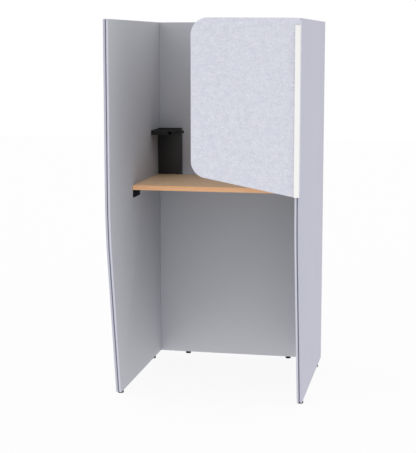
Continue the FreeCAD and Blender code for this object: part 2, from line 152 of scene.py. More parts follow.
def roundEdges(piece, test, radius, steps):
    pickEdges(piece, test)
    bpy.ops.mesh.bevel(offset_type="OFFSET", offset=radius, segments=steps, profile=0.5, affect="EDGES")
    bpy.ops.object.mode_set(mode="OBJECT")


def roundCorners(piece, test, radius, steps):
    pickCorners(piece, test)
    bpy.ops.mesh.bevel(offset_type="OFFSET", offset=radius, segments=steps, profile=0.5, affect="VERTICES")
    bpy.ops.object.mode_set(mode="OBJECT")


def extrudeEdges(piece, test, move):
    pickEdges(piece, test)
    bpy.ops.mesh.extrude_edges_move(TRANSFORM_OT_translate={"value": move})
    bpy.ops.object.mode_set(mode="OBJECT")


def splitAt(piece, point, normal, cutAway=False):
    pickAll(piece)
    bpy.ops.mesh.bisect(plane_co=point, plane_no=normal, use_fill=cutAway, clear_outer=cutAway)
    bpy.ops.object.mode_set(mode="OBJECT")


def faceOutwards(piece):
    pickAll(piece)
    bpy.ops.mesh.remove_doubles(threshold=1e-6)
    bpy.ops.mesh.normals_make_consistent(inside=False)
    bpy.ops.object.mode_set(mode="OBJECT")


def smoothOff(piece, angle=30):
    makeActive(piece)
    bpy.ops.object.shade_smooth_by_angle(angle=math.radians(angle))


def applyModifier(piece, kind, **settings):
    makeActive(piece)
    modifier = piece.modifiers.new(kind.lower(), kind)
    for key, value in settings.items():
        setattr(modifier, key, value)
    bpy.ops.object.modifier_apply(modifier=modifier.name)


def softenEdges(piece, width, steps=2, angle=35):
    applyModifier(
        piece, "BEVEL", width=width, segments=steps, limit_method="ANGLE", angle_limit=math.radians(angle))


def thicken(piece, gauge):
    applyModifier(piece, "SOLIDIFY", thickness=gauge, offset=-1, use_even_offset=True)


def cutWith(piece, cutter):
    applyModifier(piece, "BOOLEAN", operation="DIFFERENCE", solver="EXACT", object=cutter)
    bpy.data.objects.remove(cutter)


def fuseWith(piece, other):
    applyModifier(piece, "BOOLEAN", operation="UNION", solver="EXACT", object=other)
    bpy.data.objects.remove(other)
    pickAll(piece)
    bpy.ops.mesh.remove_doubles(threshold=1e-5)
    bpy.ops.mesh.dissolve_limited(angle_limit=math.radians(0.5))   # flat faces that were split
    bpy.ops.object.mode_set(mode="OBJECT")


def joinPieces(pieces):
    leaveEditMode()
    for piece in pieces:
        piece.select_set(True)
    bpy.context.view_layer.objects.active = pieces[0]
    bpy.ops.object.join()
    return pieces[0]


def copyPiece(piece, name, move=(0, 0, 0), turn=(0, 0, 0)):
    twin = piece.copy()
    twin.data = piece.data.copy()
    twin.name = twin.data.name = name
    bpy.context.scene.collection.objects.link(twin)
    twin.location = move
    twin.rotation_euler = turn
    applyPlace(twin)
    return twin


def settle(piece, body, node, material):
    # the piece stands for its node, rides with its body and wears its finish
    piece.data.materials.clear()
    piece.data.materials.append(material)
    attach(piece, body)
    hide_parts(node)


# shader nodes

def addNode(tree, kind, **settings):
    node = tree.nodes.new(kind)
    for key, value in settings.items():
        setattr(node, key, value)
    return node


def feed(tree, value, socket):
    # a link from another node, or a plain value
    if isinstance(value, bpy.types.NodeSocket):
        tree.links.new(value, socket)
    else:
        socket.default_value = value


def addNoise(tree, vector, scale, detail, roughness):
    node = addNode(tree, "ShaderNodeTexNoise")
    feed(tree, vector, node.inputs["Vector"])
    feed(tree, scale, node.inputs["Scale"])
    feed(tree, detail, node.inputs["Detail"])
    feed(tree, roughness, node.inputs["Roughness"])
    return node.outputs["Fac"]


def addMapping(tree, vector, scale, turn=(0, 0, 0), order="POINT"):
    node = addNode(tree, "ShaderNodeMapping", vector_type=order)
    feed(tree, vector, node.inputs["Vector"])
    feed(tree, scale, node.inputs["Scale"])
    feed(tree, turn, node.inputs["Rotation"])
    return node.outputs["Vector"]


def addMath(tree, operation, a, b):
    node = addNode(tree, "ShaderNodeMath", operation=operation)
    feed(tree, a, node.inputs[0])
    feed(tree, b, node.inputs[1])
    return node.outputs[0]


def addBlend(tree, a, b, shares):
    return addMath(
        tree, "ADD", addMath(tree, "MULTIPLY", a, shares[0]), addMath(tree, "MULTIPLY", b, shares[1]))


def addRange(tree, value, limits, toLow=0.0, toHigh=1.0):
    node = addNode(tree, "ShaderNodeMapRange")
    feed(tree, value, node.inputs["Value"])
    feed(tree, limits[0], node.inputs["From Min"])
    feed(tree, limits[1], node.inputs["From Max"])
    feed(tree, toLow, node.inputs["To Min"])
    feed(tree, toHigh, node.inputs["To Max"])
    return node.outputs["Result"]


def addMix(tree, amount, a, b):
    node = addNode(tree, "ShaderNodeMix", data_type="RGBA")
    feed(tree, amount, node.inputs["Factor"])
    feed(tree, a, node.inputs[6])   # the sockets before these are for numbers and vectors
    feed(tree, b, node.inputs[7])
    return node.outputs[2]


def newGroup(name, colors, numbers=()):
    group = bpy.data.node_groups.new(name, "ShaderNodeTree")
    sockets = group.interface
    sockets.new_socket("Vector", in_out="INPUT", socket_type="NodeSocketVector")
    for label in colors:
        sockets.new_socket(label, in_out="INPUT", socket_type="NodeSocketColor")
    for label in numbers:
        sockets.new_socket(label, in_out="INPUT", socket_type="NodeSocketFloat")
    sockets.new_socket("Color", in_out="OUTPUT", socket_type="NodeSocketColor")
    sockets.new_socket("Roughness", in_out="OUTPUT", socket_type="NodeSocketFloat")
    sockets.new_socket("Height", in_out="OUTPUT", socket_type="NodeSocketFloat")
    return group, addNode(group, "NodeGroupInput").outputs, addNode(group, "NodeGroupOutput").inputs


# shared effects, each built once

coatLook = {
    "broad": {"scale": 3.5, "detail": 3, "roughness": 0.55},
    "cloudy": {"scale": 38, "detail": 4, "roughness": 0.6},
    "pebble": {"detail": 2, "roughness": 0.5},
    "driftShares": (0.6, 0.4),   # of the broad and the cloudy change of tone
    "driftLimits": (0.3, 0.7),
    "rubLimits": (0.3, 0.72),
}


def buildCoatGroup(look):
    # a painted or moulded skin: drifting tone, faint rubbed patches and a fine pebbled height
    group, come, go = newGroup("coatSkin", ("Tone", "Drift"), ("Pebble", "Dull", "Sleek"))
    broad = addNoise(group, come["Vector"], **look["broad"])
    cloudy = addNoise(group, come["Vector"], **look["cloudy"])
    drift = addRange(group, addBlend(group, broad, cloudy, look["driftShares"]), look["driftLimits"])
    feed(group, addMix(group, drift, come["Tone"], come["Drift"]), go["Color"])
    feed(group, addRange(group, cloudy, look["rubLimits"], come["Dull"], come["Sleek"]), go["Roughness"])
    feed(group, addNoise(group, come["Vector"], come["Pebble"], **look["pebble"]), go["Height"])
    return group


feltLook = {
    "turns": (0.3, 1.1, 1.9, 2.7),   # of four layers of fibre, pale and dark in turn
    "tilt": (0.15, 0.1),
    "stretches": ((70, 900, 900), (80, 760, 820), (75, 840, 780), (85, 800, 860)),
    "fibre": {"scale": 1.0, "detail": 2, "roughness": 0.55},
    "laid": (0.72, 1.0, 1.1),        # the clumps lie a little longer across than up
    "clumps": {"scale": 42, "detail": 5, "roughness": 0.72},
    "tufts": {"scale": 125, "detail": 3, "roughness": 0.6},
    "batch": {"scale": 20, "detail": 2, "roughness": 0.5},   # where pinker or bluer wool was carded in
    "cloudShares": (0.55, 0.45),     # of the clumps and the tufts
    "toneLimits": (0.36, 0.64),
    "paleLimits": ((0.54, 0.68), (0.55, 0.69)),
    "paleMost": 0.6,
    "darkLimits": ((0.56, 0.70), (0.57, 0.71)),
    "darkMost": 0.5,
    "mattedLimits": (0.45, 0.8),
    "roughness": (0.98, 0.86),
    "heightShares": (0.8, 0.4),      # of the fibres and the clumps
}


def buildFeltGroup(look):
    # pressed felt: clouded ground, with pale and dark fibres matted over it in all directions
    group, come, go = newGroup("pressedFelt", ("Ground", "Pale", "Warm", "White", "Dark"))
    fibres = []
    for turn, stretch in zip(look["turns"], look["stretches"]):
        vector = addMapping(   # turned first, then stretched
            group, come["Vector"], [1 / share for share in stretch],
            (look["tilt"][0], turn, look["tilt"][1]), "TEXTURE")
        fibres.append(addNoise(group, vector, **look["fibre"]))
    laid = addMapping(group, come["Vector"], look["laid"])
    clumps = addNoise(group, laid, **look["clumps"])
    tufts = addNoise(group, laid, **look["tufts"])
    batch = addNoise(group, come["Vector"], **look["batch"])
    cloud = addBlend(group, clumps, tufts, look["cloudShares"])
    pale = addMix(group, addRange(group, batch, look["toneLimits"]), come["Pale"], come["Warm"])
    color = addMix(group, addRange(group, cloud, look["toneLimits"]), come["Ground"], pale)
    for label, pair, limits, most in (
            ("White", fibres[0::2], look["paleLimits"], look["paleMost"]),
            ("Dark", fibres[1::2], look["darkLimits"], look["darkMost"])):
        shown = [addRange(group, fibre, limit, 0.0, most) for fibre, limit in zip(pair, limits)]
        color = addMix(group, addMath(group, "MAXIMUM", *shown), color, come[label])
    feed(group, color, go["Color"])
    matted = addMath(
        group, "MAXIMUM", addMath(group, "MAXIMUM", *fibres[:2]), addMath(group, "MAXIMUM", *fibres[2:]))
    feed(group, addRange(group, matted, look["mattedLimits"], *look["roughness"]), go["Roughness"])
    feed(group, addBlend(group, matted, clumps, look["heightShares"]), go["Height"])
    return group


woodLook = {
    "bands": {"scale": (1.1, 22, 22), "detail": 3},
    "lines": {"scale": (3.0, 190, 190), "detail": 2},
    "pores": {"scale": (26, 620, 620), "detail": 1},
    "roughness": 0.55,
    "figureShares": (0.55, 0.45),   # of the bands and the lines
    "toneLimits": (0.36, 0.64),
    "dullLimits": (0.35, 0.65),
    "poreLimits": (0.62, 0.74),
    "poreMost": 0.55,
    "poreDepth": 0.8,
}


def buildWoodGroup(look):
    # long straight grain along X: broad bands, fine lines and short dark pores
    group, come, go = newGroup("straightGrain", ("Pale", "Deep", "Pore"), ("Dull", "Sleek"))
    layers = []
    for layer in (look["bands"], look["lines"], look["pores"]):
        vector = addMapping(group, come["Vector"], layer["scale"])
        layers.append(addNoise(group, vector, 1.0, layer["detail"], look["roughness"]))
    bands, lines, pores = layers
    figure = addBlend(group, bands, lines, look["figureShares"])
    tone = addMix(group, addRange(group, figure, look["toneLimits"]), come["Pale"], come["Deep"])
    pored = addRange(group, pores, look["poreLimits"], 0.0, look["poreMost"])
    feed(group, addMix(group, pored, tone, come["Pore"]), go["Color"])
    feed(group, addRange(group, figure, look["dullLimits"], come["Sleek"], come["Dull"]), go["Roughness"])
    sunk = addMath(group, "MULTIPLY", pored, look["poreDepth"])
    feed(group, addMath(group, "SUBTRACT", lines, sunk), go["Height"])
    return group


steelLook = {
    "turned": (60, 60, 4200),
    "lines": {"scale": 1.0, "detail": 2, "roughness": 0.6},
    "cloudy": {"scale": 120, "detail": 3, "roughness": 0.5},
    "lineLimits": (0.3, 0.7),
    "roughness": (0.28, 0.46),
}


def buildSteelGroup(look):
    # plated steel: fine turning lines round the part and faint cloudiness
    group, come, go = newGroup("platedSteel", ("Bright", "Dim"))
    lines = addNoise(group, addMapping(group, come["Vector"], look["turned"]), **look["lines"])
    cloudy = addNoise(group, come["Vector"], **look["cloudy"])
    feed(group, addMix(group, cloudy, come["Bright"], come["Dim"]), go["Color"])
    feed(group, addRange(group, lines, look["lineLimits"], *look["roughness"]), go["Roughness"])
    feed(group, lines, go["Height"])
    return group


coatGroup = buildCoatGroup(coatLook)
feltGroup = buildFeltGroup(feltLook)
woodGroup = buildWoodGroup(woodLook)
steelGroup = buildSteelGroup(steelLook)
print("shader groups ready")


# finishes: an effect with its tones, how strongly and how far it stands out, and the shader's own settings

def tint(red, green, blue):
    return (red, green, blue, 1)


def gloss(level):
    return {"Specular IOR Level": level}


def newFinish(name, group, bump, relief, surface=None, **values):
    material = bpy.data.materials.new(name)
    material.use_nodes = True
    tree = material.node_tree
    shader = tree.nodes["Principled BSDF"]
    where = addNode(tree, "ShaderNodeTexCoord")
    effect = addNode(tree, "ShaderNodeGroup", node_tree=group)
    feed(tree, where.outputs["Object"], effect.inputs["Vector"])
    for label, value in values.items():
        feed(tree, value, effect.inputs[label])
    raised = addNode(tree, "ShaderNodeBump")
    feed(tree, bump, raised.inputs["Strength"])
    feed(tree, relief, raised.inputs["Distance"])
    feed(tree, effect.outputs["Height"], raised.inputs["Height"])
    feed(tree, effect.outputs["Color"], shader.inputs["Base Color"])
    feed(tree, effect.outputs["Roughness"], shader.inputs["Roughness"])
    feed(tree, raised.outputs["Normal"], shader.inputs["Normal"])
    for label, value in (surface or {}).items():
        feed(tree, value, shader.inputs[label])
    return material


outerPaint = newFinish(
    "outerPaint", coatGroup, bump=0.12, relief=0.0004, surface=gloss(0.3), Pebble=1100, Dull=0.66, Sleek=0.56,
    Tone=tint(0.457, 0.458, 0.538), Drift=tint(0.443, 0.444, 0.524))
# the inner boards wear the outer paint made greyer and less lavender: painted shade inside the booth
innerPaint = newFinish(
    "innerPaint", coatGroup, bump=0.12, relief=0.0004, surface=gloss(0.3), Pebble=1100, Dull=0.68, Sleek=0.58,
    Tone=tint(0.450, 0.457, 0.490), Drift=tint(0.436, 0.443, 0.476))
# edging on the inner boards, paler than the paint: a painted highlight along the board edges
edgeBandAndHighlight = newFinish(
    "edgeBandAndHighlight", coatGroup, bump=0.08, relief=0.0003, surface=gloss(0.35), Pebble=1500, Dull=0.6, Sleek=0.5,
    Tone=tint(0.522, 0.524, 0.606), Drift=tint(0.504, 0.506, 0.587))
grooveGrey = newFinish(
    "grooveGrey", coatGroup, bump=0.2, relief=0.0004, Pebble=700, Dull=0.8, Sleek=0.7,
    Tone=tint(0.230, 0.240, 0.285), Drift=tint(0.190, 0.200, 0.240))
coreComb = newFinish(
    "coreComb", coatGroup, bump=0.4, relief=0.001, Pebble=300, Dull=0.95, Sleek=0.85,
    Tone=tint(0.30, 0.22, 0.14), Drift=tint(0.24, 0.17, 0.10))
feltGrey = newFinish(
    "feltGrey", feltGroup, bump=0.6, relief=0.0012,
    surface={"Sheen Weight": 0.25, "Sheen Roughness": 0.6, **gloss(0.2)},
    Ground=tint(0.495, 0.511, 0.593), Pale=tint(0.629, 0.643, 0.707), Warm=tint(0.643, 0.637, 0.697),
    White=tint(0.756, 0.753, 0.790), Dark=tint(0.366, 0.375, 0.480))
stripWhite = newFinish(
    "stripWhite", coatGroup, bump=0.06, relief=0.0003, Pebble=1400, Dull=0.5, Sleek=0.4,
    Tone=tint(0.799, 0.794, 0.777), Drift=tint(0.777, 0.772, 0.757))
deskWood = newFinish(
    "deskWood", woodGroup, bump=0.08, relief=0.0004, Dull=0.56, Sleek=0.44,
    Pale=tint(0.895, 0.635, 0.408), Deep=tint(0.785, 0.528, 0.324), Pore=tint(0.506, 0.308, 0.176))
deskEdge = newFinish(
    "deskEdge", woodGroup, bump=0.06, relief=0.0003, Dull=0.5, Sleek=0.4,
    Pale=tint(0.940, 0.575, 0.350), Deep=tint(0.850, 0.445, 0.208), Pore=tint(0.583, 0.301, 0.141))
# a darker underside for the desk: painted shade under the desk
backingShadeGrey = newFinish(
    "backingShadeGrey", coatGroup, bump=0.15, relief=0.0004, Pebble=800, Dull=0.75, Sleek=0.65,
    Tone=tint(0.40, 0.36, 0.31), Drift=tint(0.37, 0.33, 0.28))
dowelWood = newFinish(
    "dowelWood", woodGroup, bump=0.15, relief=0.0004, Dull=0.55, Sleek=0.42,
    Pale=tint(0.62, 0.44, 0.26), Deep=tint(0.52, 0.34, 0.18), Pore=tint(0.36, 0.22, 0.11))
blackCoat = newFinish(
    "blackCoat", coatGroup, bump=0.1, relief=0.0003, surface=gloss(0.42), Pebble=1500, Dull=0.42, Sleek=0.33,
    Tone=tint(0.0165, 0.0165, 0.0167), Drift=tint(0.0135, 0.0135, 0.0137))
shelfCoat = newFinish(
    "shelfCoat", coatGroup, bump=0.2, relief=0.0003, surface=gloss(0.1), Pebble=1500, Dull=0.76, Sleek=0.66,
    Tone=tint(0.026, 0.026, 0.0265), Drift=tint(0.021, 0.021, 0.0215))
# paler black for the shelf's folds: a painted highlight along the front edge
foldHighlightCoat = newFinish(
    "foldHighlightCoat", coatGroup, bump=0.2, relief=0.0003, surface=gloss(0.1), Pebble=1500, Dull=0.76, Sleek=0.66,
    Tone=tint(0.046, 0.046, 0.0465), Drift=tint(0.039, 0.039, 0.0395))
# also worn by the riser shelf's resting face, where its darker tone is painted shade
bracketCoat = newFinish(
    "bracketCoat", coatGroup, bump=0.2, relief=0.0003, surface=gloss(0.08),
    Pebble=1300, Dull=0.78, Sleek=0.68,
    Tone=tint(0.010, 0.010, 0.0105), Drift=tint(0.007, 0.007, 0.0075))
# near-black inside the port's cup: painted shade in the hole
portShadeBlack = newFinish(
    "portShadeBlack", coatGroup, bump=0.2, relief=0.0002, surface=gloss(0.05), Pebble=1500, Dull=0.9, Sleek=0.8,
    Tone=tint(0.006, 0.006, 0.006), Drift=tint(0.004, 0.004, 0.004))
footBlack = newFinish(
    "footBlack", coatGroup, bump=0.15, relief=0.0002, surface=gloss(0.25), Pebble=1800, Dull=0.7, Sleek=0.55,
    Tone=tint(0.012, 0.012, 0.0125), Drift=tint(0.008, 0.008, 0.0085))
blackSteel = newFinish(
    "blackSteel", steelGroup, bump=0.1, relief=0.0001, surface={"Metallic": 0.8},
    Bright=tint(0.055, 0.055, 0.058), Dim=tint(0.035, 0.035, 0.037))
plateSteel = newFinish(
    "plateSteel", steelGroup, bump=0.1, relief=0.0001, surface={"Metallic": 1.0},
    Bright=tint(0.66, 0.66, 0.65), Dim=tint(0.52, 0.52, 0.51))

# nodes that stay as they are, each with its finish
keptNodes = {
    "left_core_frame": grooveGrey, "right_core_frame": grooveGrey, "back_core_frame": grooveGrey,
    "left_corner_rail": grooveGrey, "right_corner_rail": grooveGrey,
    "left_core_fill": coreComb, "right_core_fill": coreComb, "back_core_fill": coreComb,
    "corner_rail_screws": blackSteel, "screen_dowels": dowelWood, "foot_inserts": plateSteel,
}
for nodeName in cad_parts:
    if nodeName.startswith("foot_stud_"):
        keptNodes[nodeName] = plateSteel
for nodeName, material in keptNodes.items():
    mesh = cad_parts[nodeName].data
    mesh.materials.clear()
    mesh.materials.append(material)
print("finishes ready, kept nodes:", len(keptNodes))


# panels: two boards each, with softly broken edges

boardLook = {
    "bendHeight": 0.833,     # above the floor
    "bendRadius": 1.440,
    "bendSteps": 24,
    "setback": 0.155,        # of the lower front corner
    "cornerRadius": 0.012,   # of both front corners
    "cornerSteps": 6,
    "edgeSoft": 0.0009,
    "broadFace": 0.95,       # least share of a broad face's normal across the panel
}


def makeSideBoard(node, look):
    low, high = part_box(node)
    board = addBlock(pieceName(node), low, high)
    drop = look["bendHeight"] - low.z
    lean = math.atan2(look["setback"], drop)
    slope = Vector((0, -drop, -look["setback"])).normalized()
    bend = Vector(((low.x + high.x) / 2, low.y, look["bendHeight"]))
    splitAt(board, bend, slope, cutAway=True)
    faceOutwards(board)
    roundEdges(
        board, lambda at, way: near(at.y, bend.y, looseReach) and near(at.z, bend.z, looseReach),
        look["bendRadius"] * math.tan(lean / 2), look["bendSteps"])
    roundEdges(
        board, lambda at, way: near(at.y, low.y) and near(at.z, high.z) and runsAlong(way, "x"),
        look["cornerRadius"], look["cornerSteps"])
    toe = low.y + look["setback"]
    roundEdges(   # the lower corner is wider than square
        board, lambda at, way: near(at.y, toe, looseReach) and near(at.z, low.z) and runsAlong(way, "x"),
        look["cornerRadius"] * math.tan((math.pi / 2 - lean) / 2), look["cornerSteps"])
    softenEdges(board, look["edgeSoft"])
    smoothOff(board)
    return board


def makeBackBoard(node, look):
    low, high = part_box(node)
    board = addBlock(pieceName(node), low, high)
    softenEdges(board, look["edgeSoft"])
    smoothOff(board)
    return board


for panel in ("left", "right", "back"):
    for layer in ("outer", "inner"):
        node = f"{panel}_{layer}_board"
        board = makeBackBoard(node, boardLook) if panel == "back" else makeSideBoard(node, boardLook)
        settle(board, "booth", node, outerPaint if layer == "outer" else innerPaint)
        if layer == "inner":
            board.data.materials.append(edgeBandAndHighlight)
            for face in board.data.polygons:   # all but the two broad faces is edging, its lighter tone a painted highlight on the board edges
                if abs(face.normal.y if panel == "back" else face.normal.x) < boardLook["broadFace"]:
                    face.material_index = 1
print("panels ready")


# desk with its front edging

deskLook = {"topSoft": 0.0006, "edgeRound": 0.0012, "edgeSteps": 4, "edgeSmooth": 50}

deskTop = addBlock("deskTop", *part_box("desk_top"))
softenEdges(deskTop, deskLook["topSoft"])
smoothOff(deskTop)
settle(deskTop, "booth", "desk_top", deskWood)
deskTop.data.materials.append(backingShadeGrey)   # balance sheet on the underside, made darker as painted shade under the desk
for face in deskTop.data.polygons:
    if face.normal.z < 0 and runsAlong(face.normal, "z"):
        face.material_index = 1

edgeLow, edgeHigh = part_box("desk_front_edging")
deskEdging = addBlock("deskEdging", edgeLow, edgeHigh)
roundEdges(
    deskEdging, lambda at, way: near(at.y, edgeLow.y) and runsAlong(way, "x"),
    deskLook["edgeRound"], deskLook["edgeSteps"])
smoothOff(deskEdging, deskLook["edgeSmooth"])
settle(deskEdging, "booth", "desk_front_edging", deskEdge)
print("desk ready")


# screws: a low domed head with a cross slot

screwLook = {
    "headRadius": 0.003,
    "headHeight": 0.002,
    "headSides": 32,
    "domeRound": 0.0009,
    "domeSteps": 4,
    "slotWide": 0.0008,
    "slotLong": 0.0034,
    "slotDeep": 0.0011,
    "slotClear": 0.001,     # of the cutter, over the head
    "shankRadius": 0.00175,
    "shankSides": 24,
    "shankLap": 0.0001,     # of the shank into the head
    "tipRound": 0.0006,
    "tipSteps": 2,
}


def makeScrew(length, look):
    # the underside of the head is at the origin, and the shank runs along +Z
    top = -look["headHeight"]
    head = addRound("screwHead", look["headRadius"], top, 0, look["headSides"])
    roundEdges(head, lambda at, way: near(at.z, top), look["domeRound"], look["domeSteps"])
    for long, wide in ((look["slotLong"], look["slotWide"]), (look["slotWide"], look["slotLong"])):
        slot = addBlock(
            "slot", (-long / 2, -wide / 2, top - look["slotClear"]),
            (long / 2, wide / 2, top + look["slotDeep"]))
        cutWith(head, slot)
    shank = addRound("screwShank", look["shankRadius"], -look["shankLap"], length, look["shankSides"])
    roundEdges(shank, lambda at, way: near(at.z, length), look["tipRound"], look["tipSteps"])
    screw = joinPieces([head, shank])
    smoothOff(screw)
    return screw


def placeScrews(name, node, length, places):
    # places: where the head seats, and the turn that points the shank the way it is driven
    first = makeScrew(length, screwLook)
    copies = [copyPiece(first, f"{name}{number}", move, turn) for number, (move, turn) in enumerate(places)]
    bpy.data.objects.remove(first)
    whole = joinPieces(copies)
    whole.name = whole.data.name = name
    settle(whole, "booth", node, blackSteel)


# desk brackets: folded angles with rounded tips

bracketLook = {
    "gauge": 0.003,
    "foldRadius": 0.004,
    "tipRadius": 0.006,
    "roundSteps": 5,
    "edgeSoft": 0.0003,
    "holePitch": 0.0882,
    "holeReach": 0.0234,     # from the outside of the fold
    "screwLength": 0.011,
}


def makeBracket(node, look):
    low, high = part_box(node)
    leftSide = low.x < 0
    wallX = low.x if leftSide else high.x
    inward = 1 if leftSide else -1
    middle = (low + high) / 2
    size = high - low
    bracket = addSheet(
        pieceName(node), (size.z, size.y), (wallX, middle.y, middle.z), (0, math.radians(90), 0))
    extrudeEdges(
        bracket, lambda at, way: near(at.z, high.z) and runsAlong(way, "y"), (inward * size.x, 0, 0))
    roundCorners(bracket, lambda at: near(at.z, low.z), look["tipRadius"], look["roundSteps"])
    roundCorners(
        bracket, lambda at: near(at.z, high.z) and abs(at.x - wallX) > size.x / 2,
        look["tipRadius"], look["roundSteps"])
    faceOutwards(bracket)
    roundEdges(
        bracket, lambda at, way: near(at.z, high.z) and near(at.x, wallX) and runsAlong(way, "y"),
        look["foldRadius"], look["roundSteps"])
    thicken(bracket, look["gauge"])
    faceOutwards(bracket)
    softenEdges(bracket, look["edgeSoft"])
    smoothOff(bracket)
    return bracket


panelPlaces = []
deskPlaces = []
for side, sign in (("left", -1), ("right", 1)):
    for end in ("front", "rear"):
        node = f"desk_bracket_{end}_{side}"
        bracket = makeBracket(node, bracketLook)
        settle(bracket, "booth", node, bracketCoat)
        low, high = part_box(node)
        wallX = low.x if side == "left" else high.x
        for along in (-0.5, 0.5):
            y = (low.y + high.y) / 2 + along * bracketLook["holePitch"]
            panelPlaces.append((
                (wallX - sign * bracketLook["gauge"], y, high.z - bracketLook["holeReach"]),
                (0, math.radians(90 * sign), 0)))
            deskPlaces.append((
                (wallX - sign * bracketLook["holeReach"], y, high.z - bracketLook["gauge"]), (0, 0, 0)))
screwLength = bracketLook["screwLength"]
placeScrews("bracketPanelScrews", "bracket_panel_screws", screwLength, panelPlaces)
placeScrews("bracketDeskScrews", "bracket_desk_screws", screwLength, deskPlaces)
print("brackets ready")


# felt screen and its clamp strip

screenLook = {
    "topOver": 0.001,       # of the clamped upper corner over the panel
    "bottomRise": 0.0905,   # of the free lower corner over the clamped one
    "topRise": 0.004,       # of the free upper corner over the clamped one
    "flatFoot": 0.024,      # level stretch under the strip
    "topRadius": 0.077,
    "topSteps": 16,
    "bottomRadius": 0.074,
    "bottomSteps": 18,
    "clampedRadius": 0.020,
    "clampedSteps": 8,
    "edgeSoft": 0.0026,
    "softSteps": 3,
}


def makeScreen(look):
    low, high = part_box("screen_felt")
    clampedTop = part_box("right_inner_board")[1].z + look["topOver"]
    freeTop = clampedTop + look["topRise"]
    board = addBlock("screenFelt", low, (high.x, high.y, freeTop))
    topSlope = Vector((look["topRise"], 0, high.x - low.x)).normalized()
    splitAt(board, (high.x, low.y, clampedTop), topSlope, cutAway=True)
    foot = high.x - look["flatFoot"]
    bottomSlope = Vector((-look["bottomRise"], 0, low.x - foot)).normalized()
    splitAt(board, (foot, low.y, low.z), bottomSlope, cutAway=True)
    faceOutwards(board)
    lean = math.atan2(look["bottomRise"], foot - low.x)
    bottomReach = look["bottomRadius"] * math.tan((math.pi / 2 - lean) / 2)   # a corner wider than square
    middle = (low.z + high.z) / 2

    def isCorner(at, way, x, upper):
        return runsAlong(way, "y") and near(at.x, x) and (at.z > middle) == upper

    roundEdges(board, lambda at, way: isCorner(at, way, low.x, True), look["topRadius"], look["topSteps"])
    roundEdges(board, lambda at, way: isCorner(at, way, low.x, False), bottomReach, look["bottomSteps"])
    roundEdges(
        board, lambda at, way: isCorner(at, way, high.x, True), look["clampedRadius"], look["clampedSteps"])
    softenEdges(board, look["edgeSoft"], look["softSteps"])
    smoothOff(board)
    return board


screenFelt = makeScreen(screenLook)
settle(screenFelt, "booth", "screen_felt", feltGrey)

stripLook = {"round": 0.0022, "roundSteps": 5, "endSoft": 0.0008, "softAngle": 50}
stripLow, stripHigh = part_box("screen_clamp_strip")
clampStrip = addBlock("clampStrip", stripLow, stripHigh)
roundEdges(
    clampStrip, lambda at, way: runsAlong(way, "z") and near(at.y, stripLow.y),
    stripLook["round"], stripLook["roundSteps"])
softenEdges(clampStrip, stripLook["endSoft"], angle=stripLook["softAngle"])
smoothOff(clampStrip)
settle(clampStrip, "booth", "screen_clamp_strip", stripWhite)
print("screen ready")


# cable riser: channel, cover and folded shelf in black sheet

riserLook = {
    "gauge": 0.002,
    "edgeSoft": 0.0003,
    "shelfSoftAngle": 40,
    "foldRadius": 0.003,
    "roundSteps": 5,
    "coverRound": 0.0018,
    "legDepth": 0.015,
    "clipPlay": 0.0003,
    "lip": 0.025,                 # height of the shelf's rim
    "lipGap": 0.001,
    "portWide": 0.018,            # cable port in the rim
    "portInset": 0.0145,
    "portDrop": 0.007,
    "portSill": 0.005,
    "portRound": 0.003,
    "cupRoom": (0.003, 0.0015),   # of the cup behind the port, beside and over it
    "cupDeep": 0.016,
    "cupWall": 0.0012,
    "earRound": 0.004,
    "earLong": 0.014,
    "earHeights": (1.212, 0.978),
    "earScrew": 0.0045,           # past the channel's side
    "shelfScrews": 0.061,         # apart
    "shelfScrewDrop": 0.0196,     # under the shelf's top
    "screwLength": 0.0108,
    "levelFace": 0.95,            # least upward share of a level face's normal
    "foldFace": 0.2,              # and of a fold's
    "topBand": 0.0005,            # in which the resting face lies
}
coverLow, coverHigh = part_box("riser_cover")
channelLow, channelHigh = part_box("riser_channel")
shelfLow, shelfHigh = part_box("riser_shelf")
portHigh = Vector((shelfHigh.x - riserLook["portInset"], shelfLow.y, shelfHigh.z - riserLook["portDrop"]))
portLow = Vector((
    portHigh.x - riserLook["portWide"], shelfLow.y, shelfHigh.z - riserLook["lip"] + riserLook["portSill"]))
cupBeside, cupOver = riserLook["cupRoom"]
cupLow = portLow + Vector((-cupBeside, riserLook["gauge"] / 2, -cupOver))
cupHigh = portHigh + Vector((cupBeside, riserLook["cupDeep"], cupOver))


def makeChannel(look):
    gauge = look["gauge"]
    right = coverHigh.x
    back = channelHigh.y
    channel = addBlock("riserChannel", channelLow, (right, back, channelHigh.z))
    cutWith(channel, addBlock(
        "hollow", (channelLow.x + gauge, channelLow.y - gauge, channelLow.z - gauge),
        (right - gauge, back - gauge, channelHigh.z + gauge)))
    for height in look["earHeights"]:
        ear = addBlock(
            "ear", (right - gauge / 2, back - gauge, height - look["earLong"] / 2),
            (channelHigh.x, back - look["edgeSoft"], height + look["earLong"] / 2))
        roundEdges(
            ear, lambda at, way: runsAlong(way, "y") and near(at.x, channelHigh.x),
            look["earRound"], look["roundSteps"])
        fuseWith(channel, ear)
    softenEdges(channel, look["edgeSoft"])
    smoothOff(channel)
    return channel


def makeCover(look):
    gauge = look["gauge"]
    front = coverLow.y
    plate = addBlock("riserCover", coverLow, (coverHigh.x, front + gauge, coverHigh.z))
    roundEdges(
        plate, lambda at, way: runsAlong(way, "z") and near(at.y, front),
        look["coverRound"], look["roundSteps"])
    inset = gauge + look["clipPlay"]
    for legX in (coverLow.x + inset, coverHigh.x - inset - gauge):
        leg = addBlock(
            "leg", (legX, front + gauge / 2, coverLow.z),
            (legX + gauge, front + gauge + look["legDepth"], coverHigh.z))
        fuseWith(plate, leg)
    smoothOff(plate)
    return plate


